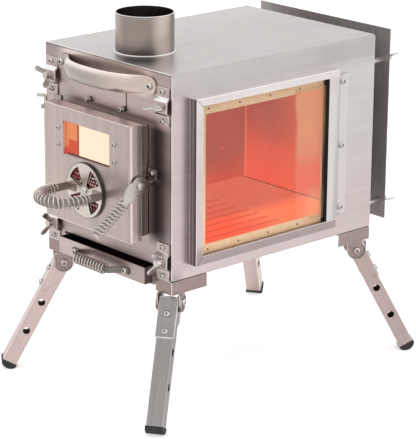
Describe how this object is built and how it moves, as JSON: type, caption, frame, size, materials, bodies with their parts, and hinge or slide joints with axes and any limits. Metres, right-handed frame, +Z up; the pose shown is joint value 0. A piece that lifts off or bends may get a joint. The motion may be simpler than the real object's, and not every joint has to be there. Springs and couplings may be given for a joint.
{
  "type": "tent wood stove",
  "caption": "Portable box wood stove with side windows, a glazed hinged door, a rotary air damper, an ash drawer, a flue collar, a rear heat shield and folding splayed legs.",
  "frame": {"origin": "on the ground, under the centre of the stove's outer box with the legs splayed", "axes": "+Z up, the door faces -Y, the heat shield is at +Y, +X is to the right of someone who faces +Y"},
  "size_m": [0.2688, 0.4248, 0.3981],
  "materials": {
    "brushed_steel": "brushed stainless sheet",
    "polished_steel": "finer brushed, brighter stainless",
    "heated_steel": "heat-stained plate",
    "shield_steel": "dark satin steel",
    "zinc": "bright zinc-plated hardware and spring wire",
    "rubber": "matt moulded",
    "gasket_fibre": "woven glass-fibre tape",
    "ceramic_glass": "clear amber heat-resistant glass"
  },
  "bodies": {
    "casing": {"firebox_shell": "brushed_steel", "flue_collar": "polished_steel", "ash_channel": "brushed_steel", "front_plate": "brushed_steel", "back_plate": "brushed_steel", "rear_heat_shield": "shield_steel", "fire_grate": "heated_steel", "window_gasket_right": "gasket_fibre", "side_glass_right": "ceramic_glass", "window_frame_right": "brushed_steel", "window_retainer_right": "brushed_steel", "window_gasket_left": "gasket_fibre", "side_glass_left": "ceramic_glass", "window_frame_left": "brushed_steel", "window_retainer_left": "brushed_steel", "front_clamp_upper_left": "brushed_steel", "front_clamp_upper_right": "brushed_steel", "front_clamp_lower_left": "brushed_steel", "front_clamp_lower_right": "brushed_steel", "carry_handle": "polished_steel", "hinge_bracket_upper": "brushed_steel", "hinge_bracket_lower": "brushed_steel", "hinge_pin": "polished_steel", "latch_catch": "brushed_steel", "leg_bracket_front_left": "brushed_steel", "leg_bracket_front_right": "brushed_steel", "leg_bracket_rear_left": "brushed_steel", "leg_bracket_rear_right": "brushed_steel"},
    "door": {"door_shell": "brushed_steel", "door_liner": "brushed_steel", "door_glass_gasket": "gasket_fibre", "door_glass": "ceramic_glass", "door_glazing_plate": "brushed_steel", "air_mesh": "polished_steel", "damper_bolt": "zinc", "latch_bolt": "zinc"},
    "damper": {"damper_disc": "polished_steel", "damper_handle": "polished_steel", "damper_coil": "zinc"},
    "latch": {"latch_lever": "polished_steel", "latch_coil": "zinc"},
    "drawer": {"ash_drawer": "brushed_steel", "drawer_handle": "polished_steel", "drawer_coil": "zinc"},
    "leg_front_left": {"leg_front_left": "brushed_steel", "foot_front_left": "rubber"},
    "leg_front_right": {"leg_front_right": "brushed_steel", "foot_front_right": "rubber"},
    "leg_rear_left": {"leg_rear_left": "brushed_steel", "foot_rear_left": "rubber"},
    "leg_rear_right": {"leg_rear_right": "brushed_steel", "foot_rear_right": "rubber"},
    "wing_bolt_upper_left": {"wing_bolt_upper_left": "zinc"},
    "wing_nut_upper_left": {"wing_nut_upper_left": "zinc"},
    "wing_bolt_upper_right": {"wing_bolt_upper_right": "zinc"},
    "wing_nut_upper_right": {"wing_nut_upper_right": "zinc"},
    "wing_bolt_lower_left": {"wing_bolt_lower_left": "zinc"},
    "wing_nut_lower_left": {"wing_nut_lower_left": "zinc"},
    "wing_bolt_lower_right": {"wing_bolt_lower_right": "zinc"},
    "wing_nut_lower_right": {"wing_nut_lower_right": "zinc"}
  },
  "joints": [
    {"name": "door_hinge", "type": "hinge", "parent": "casing", "child": "door", "pos_m": [-0.079, -0.14169, 0.2445], "axis": [0, 0, -1], "range_deg": [0, 115]},
    {"name": "latch_pivot", "type": "hinge", "parent": "door", "child": "latch", "pos_m": [0.0715, -0.14219, 0.2427], "axis": [-1, 0, 0], "range_deg": [0, 75]},
    {"name": "damper_turn", "type": "hinge", "parent": "door", "child": "damper", "pos_m": [0, -0.15519, 0.2242], "axis": [0, -1, 0], "range_deg": [0, 45]},
    {"name": "drawer_slide", "type": "slide", "parent": "casing", "child": "drawer", "axis": [0, -1, 0], "range_m": [-0.008, 0.15]},
    {"name": "leg_fold_front_left", "type": "hinge", "parent": "casing", "child": "leg_front_left", "pos_m": [-0.0876, -0.11519, 0.12], "axis": [0.8211, -0.5707, 0], "range_deg": [0, 118]},
    {"name": "leg_fold_front_right", "type": "hinge", "parent": "casing", "child": "leg_front_right", "pos_m": [0.0876, -0.11519, 0.12], "axis": [0.8211, 0.5707, 0], "range_deg": [0, 118]},
    {"name": "leg_fold_rear_left", "type": "hinge", "parent": "casing", "child": "leg_rear_left", "pos_m": [-0.0876, 0.15081, 0.12], "axis": [-0.8211, -0.5707, 0], "range_deg": [0, 118]},
    {"name": "leg_fold_rear_right", "type": "hinge", "parent": "casing", "child": "leg_rear_right", "pos_m": [0.0876, 0.15081, 0.12], "axis": [-0.8211, 0.5707, 0], "range_deg": [0, 118]},
    {"name": "wing_bolt_turn_upper_left", "type": "hinge", "parent": "casing", "child": "wing_bolt_upper_left", "pos_m": [-0.088, -0.13269, 0.3242], "axis": [0, -1, 0], "continuous": true},
    {"name": "wing_bolt_turn_upper_right", "type": "hinge", "parent": "casing", "child": "wing_bolt_upper_right", "pos_m": [0.088, -0.13269, 0.3242], "axis": [0, -1, 0], "continuous": true},
    {"name": "wing_bolt_turn_lower_left", "type": "hinge", "parent": "casing", "child": "wing_bolt_lower_left", "pos_m": [-0.088, -0.13269, 0.1646], "axis": [0, -1, 0], "continuous": true},
    {"name": "wing_bolt_turn_lower_right", "type": "hinge", "parent": "casing", "child": "wing_bolt_lower_right", "pos_m": [0.088, -0.13269, 0.1646], "axis": [0, -1, 0], "continuous": true},
    {"name": "wing_nut_turn_upper_left", "type": "hinge", "parent": "casing", "child": "wing_nut_upper_left", "pos_m": [-0.088, 0.18931, 0.3248], "axis": [0, 1, 0], "continuous": true},
    {"name": "wing_nut_turn_upper_right", "type": "hinge", "parent": "casing", "child": "wing_nut_upper_right", "pos_m": [0.088, 0.18931, 0.3248], "axis": [0, 1, 0], "continuous": true},
    {"name": "wing_nut_turn_lower_left", "type": "hinge", "parent": "casing", "child": "wing_nut_lower_left", "pos_m": [-0.088, 0.18931, 0.167], "axis": [0, 1, 0], "continuous": true},
    {"name": "wing_nut_turn_lower_right", "type": "hinge", "parent": "casing", "child": "wing_nut_lower_right", "pos_m": [0.088, 0.18931, 0.167], "axis": [0, 1, 0], "continuous": true}
  ]
}
